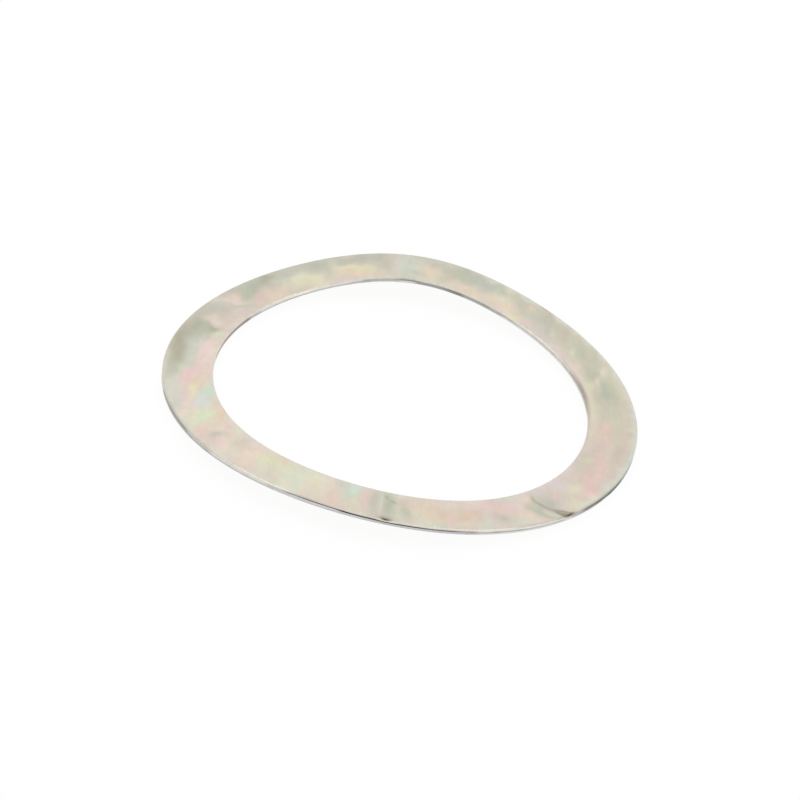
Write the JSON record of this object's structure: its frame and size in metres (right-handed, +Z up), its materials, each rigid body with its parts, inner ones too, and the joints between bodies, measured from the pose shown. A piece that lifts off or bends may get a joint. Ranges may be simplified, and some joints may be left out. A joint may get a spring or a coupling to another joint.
{
  "type": "waved shim washer",
  "caption": "Thin flat steel ring with a large hole, blanked from sheet and zinc plated, which has taken a soft wave and lies on its low sides.",
  "frame": {"origin": "on the axis of the hole, at the level of the surface that the ring lies on", "axes": "+Z up along the axis of the hole, +Y towards the sharper crest at the back, +X to the right"},
  "size_m": [0.095, 0.095, 0.0056],
  "materials": {
    "zinc_passivate": "satin rolled sheet steel with iridescent zinc passivate"
  },
  "bodies": {
    "root": {"shim_washer": "zinc_passivate"}
  },
  "joints": []
}
